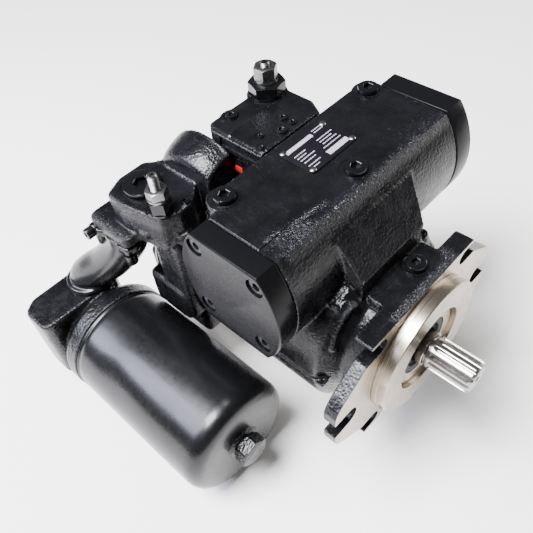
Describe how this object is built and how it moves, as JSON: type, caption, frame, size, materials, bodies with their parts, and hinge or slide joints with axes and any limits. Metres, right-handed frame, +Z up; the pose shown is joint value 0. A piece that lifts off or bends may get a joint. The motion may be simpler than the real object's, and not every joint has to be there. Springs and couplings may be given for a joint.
{
  "type": "axial piston pump",
  "caption": "Variable axial piston pump with a two-bolt mounting flange, splined drive shaft, transverse servo cylinder, control block and side-mounted spin-on filter.",
  "frame": {"origin": "centre of the mounting flange's front face, on the shaft axis", "axes": "-Y along the drive shaft out of the flange, +Z up through the servo cylinder, +X across towards the port block"},
  "size_m": [0.2675, 0.311, 0.2455],
  "materials": {
    "black_paint": "glossy black paint over cast metal",
    "machined_steel": "bare machined steel",
    "zinc_plate": "bright zinc plating",
    "bearing_bronze": "satin",
    "seal_rubber": "matt",
    "filter_paper": "matt pleated paper",
    "label_face": "printed black label"
  },
  "bodies": {
    "housing": {"charge_pump_case": "black_paint", "charge_pump_cover": "black_paint", "control_end_plug": "black_paint", "control_housing": "black_paint", "cover_screw_left_1": "machined_steel", "cover_screw_left_2": "machined_steel", "cover_screw_left_3": "machined_steel", "cover_screw_left_4": "machined_steel", "cover_screw_right_1": "machined_steel", "cover_screw_right_2": "machined_steel", "cover_screw_right_3": "machined_steel", "cover_screw_right_4": "machined_steel", "cradle_bearing_lower": "bearing_bronze", "cradle_bearing_upper": "bearing_bronze", "cutoff_adjusting_screw": "zinc_plate", "cutoff_cartridge": "black_paint", "cutoff_lock_nut": "zinc_plate", "drain_plug": "black_paint", "elbow_screw_1": "black_paint", "elbow_screw_2": "black_paint", "end_cap": "black_paint", "filter_can": "black_paint", "filter_element": "filter_paper", "filter_head": "black_paint", "front_bearing": "machined_steel", "large_plug": "black_paint", "main_housing": "black_paint", "nameplate": "label_face", "rear_bearing": "machined_steel", "relief_adjusting_screw": "zinc_plate", "relief_cartridge": "black_paint", "relief_lock_nut": "zinc_plate", "seal_carrier": "machined_steel", "servo_cover_left": "black_paint", "servo_cover_right": "black_paint", "shaft_seal": "seal_rubber", "suction_elbow": "black_paint", "top_plug_1": "black_paint", "top_plug_2": "black_paint", "top_plug_3": "black_paint", "valve_plate": "bearing_bronze"},
    "shaft_group": {"drive_shaft": "machined_steel", "cylinder_block": "machined_steel", "piston_1": "machined_steel", "piston_2": "machined_steel", "piston_3": "machined_steel", "piston_4": "machined_steel", "piston_5": "machined_steel", "piston_6": "machined_steel", "piston_7": "machined_steel", "piston_8": "machined_steel", "piston_9": "machined_steel", "hold_down_sleeve": "machined_steel", "gerotor_inner": "machined_steel"},
    "swashplate": {"swashplate": "machined_steel"},
    "slippers": {"slipper_ring": "bearing_bronze"},
    "servo_piston": {"servo_piston": "machined_steel", "centering_spring": "machined_steel"},
    "ring_gear": {"gerotor_ring": "machined_steel"},
    "control_spool": {"control_spool": "machined_steel"}
  },
  "joints": [
    {"name": "shaft_spin", "type": "hinge", "parent": "housing", "child": "shaft_group", "pos_m": [0, 0, 0], "axis": [0, 1, 0], "continuous": true},
    {"name": "swash_tilt", "type": "hinge", "parent": "housing", "child": "swashplate", "pos_m": [0, 0.048, 0], "axis": [0, 0, 1], "range_deg": [-17, 17]},
    {"name": "servo_slide", "type": "slide", "parent": "housing", "child": "servo_piston", "axis": [1, 0, 0], "range_m": [-0.0078, 0.0078], "deforming": ["centering_spring"]},
    {"name": "slipper_spin", "type": "hinge", "parent": "swashplate", "child": "slippers", "pos_m": [0, 0.048, 0], "axis": [0, 1, 0], "continuous": true},
    {"name": "ring_spin", "type": "hinge", "parent": "housing", "child": "ring_gear", "pos_m": [0.002, 0, 0], "axis": [0, 1, 0], "continuous": true},
    {"name": "spool_slide", "type": "slide", "parent": "housing", "child": "control_spool", "axis": [1, 0, 0], "range_m": [-0.003, 0.003], "stiffness_N_per_m": 800}
  ],
  "couplings": [
    {"joint": "servo_slide", "follows": "swash_tilt", "m_per_rad": -0.026},
    {"joint": "slipper_spin", "follows": "shaft_spin", "ratio": 1},
    {"joint": "ring_spin", "follows": "shaft_spin", "ratio": 0.85714}
  ]
}
